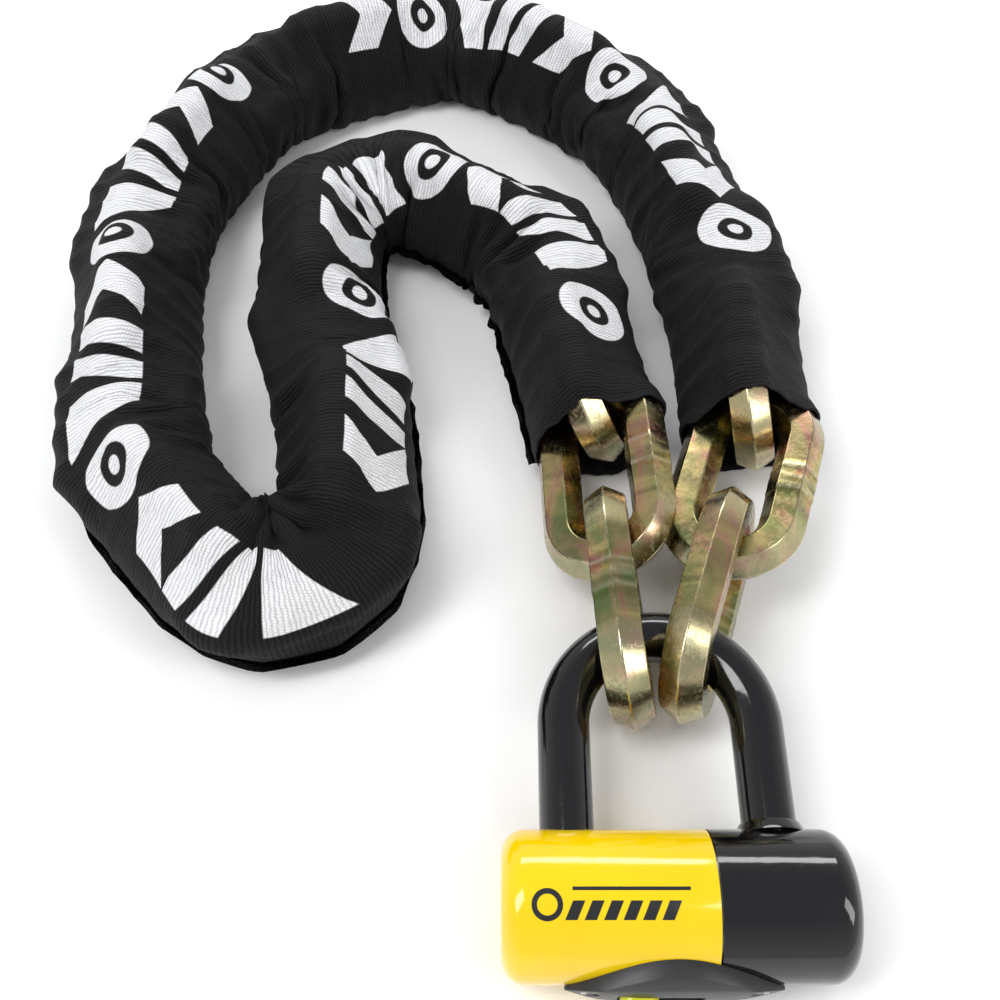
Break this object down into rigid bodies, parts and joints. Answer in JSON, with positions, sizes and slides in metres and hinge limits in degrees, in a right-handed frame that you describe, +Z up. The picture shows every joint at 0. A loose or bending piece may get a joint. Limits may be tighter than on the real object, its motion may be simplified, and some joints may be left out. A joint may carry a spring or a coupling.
{
  "type": "chain lock",
  "caption": "Hexagonal-bar security chain in a woven sleeve, joined by a round-barrelled double-deadbolt shackle lock with a sliding keyhole cover.",
  "frame": {"origin": "bottom centre of the whole assembly's box, on the surface it lies on", "axes": "+Z up from the surface, +Y from the lock along the strands of chain, +X along the lock's barrel towards its black end"},
  "size_m": [0.2994, 0.4698, 0.0525],
  "materials": {
    "zinc": "yellow zinc chromate on forged steel, iridescent, semi-gloss",
    "steel": "hardened steel, satin",
    "brass": "machined brass",
    "yellow": "gloss yellow moulding",
    "black_gloss": "gloss black moulding",
    "black_vinyl": "gloss black vinyl dip",
    "satin_black": "satin black moulding",
    "lime": "gloss yellow-green moulding",
    "cloth": "coarse black woven nylon"
  },
  "bodies": {
    "link_01": {"link_01": "zinc"},
    "link_02": {"link_02": "zinc", "sleeve": "cloth"},
    "link_03": {"link_03": "zinc"},
    "link_04": {"link_04": "zinc"},
    "link_05": {"link_05": "zinc"},
    "link_06": {"link_06": "zinc"},
    "link_07": {"link_07": "zinc"},
    "link_08": {"link_08": "zinc"},
    "link_09": {"link_09": "zinc"},
    "link_10": {"link_10": "zinc"},
    "link_11": {"link_11": "zinc"},
    "link_12": {"link_12": "zinc"},
    "link_13": {"link_13": "zinc"},
    "link_14": {"link_14": "zinc"},
    "link_15": {"link_15": "zinc"},
    "link_16": {"link_16": "zinc"},
    "link_17": {"link_17": "zinc"},
    "link_18": {"link_18": "zinc"},
    "link_19": {"link_19": "zinc"},
    "link_20": {"link_20": "zinc"},
    "link_21": {"link_21": "zinc"},
    "link_22": {"link_22": "zinc"},
    "link_23": {"link_23": "zinc"},
    "link_24": {"link_24": "zinc"},
    "link_25": {"link_25": "zinc"},
    "shackle": {"shackle_bar": "steel", "shackle_coating": "black_vinyl"},
    "crossbar": {"crossbar_body": "steel", "yellow_cover": "yellow", "black_cover": "black_gloss", "cylinder_housing": "brass", "cylinder_retainer": "steel", "drill_guard": "steel", "base_plate": "satin_black", "plate_screws": "steel"},
    "key_cylinder": {"key_plug": "brass", "detainer_discs": "steel", "side_bar": "brass", "drive_cam": "steel"},
    "deadbolt_right": {"deadbolt_right": "steel"},
    "deadbolt_left": {"deadbolt_left": "steel"},
    "dust_cover": {"dust_cover": "satin_black", "dust_cover_tab": "lime"}
  },
  "joints": [
    {"name": "bend_02_03", "type": "hinge", "parent": "link_02", "child": "link_03", "pos_m": [0.06522, -0.04347, 0.0263], "axis": [0, 0, 1], "range_deg": [-0.9, 0.9]},
    {"name": "bend_03_04", "type": "hinge", "parent": "link_03", "child": "link_04", "pos_m": [0.05341, 0.02536, 0.0263], "axis": [0, 0, 1], "range_deg": [-0.74, 0.74]},
    {"name": "bend_04_05", "type": "hinge", "parent": "link_04", "child": "link_05", "pos_m": [0.04282, 0.05872, 0.0263], "axis": [0, 0, 1], "range_deg": [-5.12, 5.12]},
    {"name": "bend_05_06", "type": "hinge", "parent": "link_05", "child": "link_06", "pos_m": [-0.01453, 0.09857, 0.0263], "axis": [0, 0, 1], "range_deg": [-6, 6], "deforming": ["sleeve"]},
    {"name": "bend_06_07", "type": "hinge", "parent": "link_06", "child": "link_07", "pos_m": [-0.04591, 0.08308, 0.0263], "axis": [0, 0, 1], "range_deg": [-4.29, 4.29]},
    {"name": "bend_07_08", "type": "hinge", "parent": "link_07", "child": "link_08", "pos_m": [-0.0439, 0.01327, 0.0263], "axis": [0, 0, 1], "range_deg": [-1, 1]},
    {"name": "bend_08_09", "type": "hinge", "parent": "link_08", "child": "link_09", "pos_m": [-0.0314, -0.01942, 0.0263], "axis": [0, 0, 1], "range_deg": [-2.2, 2.2]},
    {"name": "bend_09_10", "type": "hinge", "parent": "link_09", "child": "link_10", "pos_m": [-0.02567, -0.08902, 0.0263], "axis": [0, 0, 1], "range_deg": [-4.24, 4.24]},
    {"name": "bend_10_11", "type": "hinge", "parent": "link_10", "child": "link_11", "pos_m": [-0.05662, -0.10536, 0.0263], "axis": [0, 0, 1], "range_deg": [-1.5, 1.5]},
    {"name": "bend_11_12", "type": "hinge", "parent": "link_11", "child": "link_12", "pos_m": [-0.10429, -0.05432, 0.0263], "axis": [0, 0, 1], "range_deg": [-2.26, 2.26]},
    {"name": "bend_12_13", "type": "hinge", "parent": "link_12", "child": "link_13", "pos_m": [-0.11135, -0.02005, 0.0263], "axis": [0, 0, 1], "range_deg": [-3.46, 3.46]},
    {"name": "bend_13_14", "type": "hinge", "parent": "link_13", "child": "link_14", "pos_m": [-0.12175, 0.04901, 0.0263], "axis": [0, 0, 1], "range_deg": [-2.43, 2.43]},
    {"name": "bend_14_15", "type": "hinge", "parent": "link_14", "child": "link_15", "pos_m": [-0.11987, 0.08396, 0.0263], "axis": [0, 0, 1], "range_deg": [-3.19, 3.19]},
    {"name": "bend_15_16", "type": "hinge", "parent": "link_15", "child": "link_16", "pos_m": [-0.09595, 0.14957, 0.0263], "axis": [0, 0, 1], "range_deg": [-5.14, 5.14]},
    {"name": "bend_16_17", "type": "hinge", "parent": "link_16", "child": "link_17", "pos_m": [-0.07247, 0.17553, 0.0263], "axis": [0, 0, 1], "range_deg": [-4.33, 4.33]},
    {"name": "bend_17_18", "type": "hinge", "parent": "link_17", "child": "link_18", "pos_m": [-0.00863, 0.20383, 0.0263], "axis": [0, 0, 1], "range_deg": [-0.74, 0.74]},
    {"name": "bend_18_19", "type": "hinge", "parent": "link_18", "child": "link_19", "pos_m": [0.02604, 0.19903, 0.0263], "axis": [0, 0, 1], "range_deg": [-1.96, 1.96]},
    {"name": "bend_19_20", "type": "hinge", "parent": "link_19", "child": "link_20", "pos_m": [0.08088, 0.15579, 0.0263], "axis": [0, 0, 1], "range_deg": [-0.74, 0.74]},
    {"name": "bend_20_21", "type": "hinge", "parent": "link_20", "child": "link_21", "pos_m": [0.09798, 0.12525, 0.0263], "axis": [0, 0, 1], "range_deg": [-0.74, 0.74]},
    {"name": "bend_21_22", "type": "hinge", "parent": "link_21", "child": "link_22", "pos_m": [0.11725, 0.05813, 0.0263], "axis": [0, 0, 1], "range_deg": [-0.74, 0.74]},
    {"name": "bend_22_23", "type": "hinge", "parent": "link_22", "child": "link_23", "pos_m": [0.12129, 0.02336, 0.0263], "axis": [0, 0, 1], "range_deg": [-0.74, 0.74]},
    {"name": "bend_23_24", "type": "hinge", "parent": "link_23", "child": "link_24", "pos_m": [0.12105, -0.04647, 0.0263], "axis": [0, 0, 1], "range_deg": [-0.74, 0.74]},
    {"name": "lock_lift", "type": "hinge", "parent": "link_02", "child": "link_01", "pos_m": [0.0784, -0.09545, 0.0259], "axis": [-1, 0, 0], "range_deg": [0, 10]},
    {"name": "end_link_follow", "type": "hinge", "parent": "link_24", "child": "link_25", "pos_m": [0.0784, -0.09545, 0.0259], "axis": [-1, 0, 0], "range_deg": [-0.02, 10.02]},
    {"name": "shackle_swing", "type": "hinge", "parent": "link_01", "child": "shackle", "pos_m": [0.0784, -0.12559, 0.02585], "axis": [-1, 0, 0], "range_deg": [0, 12]},
    {"name": "crossbar_slide", "type": "slide", "parent": "shackle", "child": "crossbar", "axis": [0, -0.9983, -0.0584], "range_m": [0, 0.06]},
    {"name": "key_turn", "type": "hinge", "parent": "crossbar", "child": "key_cylinder", "pos_m": [0.0784, -0.21743, 0.02047], "axis": [0, 0.9983, 0.0584], "range_deg": [0, 90]},
    {"name": "bolt_right_slide", "type": "slide", "parent": "crossbar", "child": "deadbolt_right", "axis": [1, 0, 0], "range_m": [-0.00002, 0.00502]},
    {"name": "bolt_left_slide", "type": "slide", "parent": "crossbar", "child": "deadbolt_left", "axis": [-1, 0, 0], "range_m": [-0.00002, 0.00502]},
    {"name": "dust_cover_slide", "type": "slide", "parent": "crossbar", "child": "dust_cover", "axis": [1, 0, 0], "range_m": [0, 0.011]}
  ],
  "couplings": [
    {"joint": "bend_02_03", "follows": "bend_05_06", "ratio": -0.146},
    {"joint": "bend_03_04", "follows": "bend_05_06", "ratio": -0.12},
    {"joint": "bend_04_05", "follows": "bend_05_06", "ratio": 0.85},
    {"joint": "bend_06_07", "follows": "bend_05_06", "ratio": 0.712},
    {"joint": "bend_07_08", "follows": "bend_05_06", "ratio": 0.163},
    {"joint": "bend_08_09", "follows": "bend_05_06", "ratio": -0.363},
    {"joint": "bend_09_10", "follows": "bend_05_06", "ratio": -0.703},
    {"joint": "bend_10_11", "follows": "bend_05_06", "ratio": -0.246},
    {"joint": "bend_11_12", "follows": "bend_05_06", "ratio": 0.374},
    {"joint": "bend_12_13", "follows": "bend_05_06", "ratio": 0.574},
    {"joint": "bend_13_14", "follows": "bend_05_06", "ratio": 0.402},
    {"joint": "bend_14_15", "follows": "bend_05_06", "ratio": -0.529},
    {"joint": "bend_15_16", "follows": "bend_05_06", "ratio": -0.854},
    {"joint": "bend_16_17", "follows": "bend_05_06", "ratio": -0.718},
    {"joint": "bend_17_18", "follows": "bend_05_06", "ratio": -0.12},
    {"joint": "bend_18_19", "follows": "bend_05_06", "ratio": 0.324},
    {"joint": "bend_19_20", "follows": "bend_05_06", "ratio": -0.12},
    {"joint": "bend_20_21", "follows": "bend_05_06", "ratio": -0.12},
    {"joint": "bend_21_22", "follows": "bend_05_06", "ratio": -0.12},
    {"joint": "bend_22_23", "follows": "bend_05_06", "ratio": -0.12},
    {"joint": "bend_23_24", "follows": "bend_05_06", "ratio": -0.12},
    {"joint": "end_link_follow", "follows": "lock_lift", "ratio": 1},
    {"joint": "bolt_right_slide", "follows": "key_turn", "m_per_rad": 0.0031831},
    {"joint": "bolt_left_slide", "follows": "key_turn", "m_per_rad": 0.0031831}
  ]
}
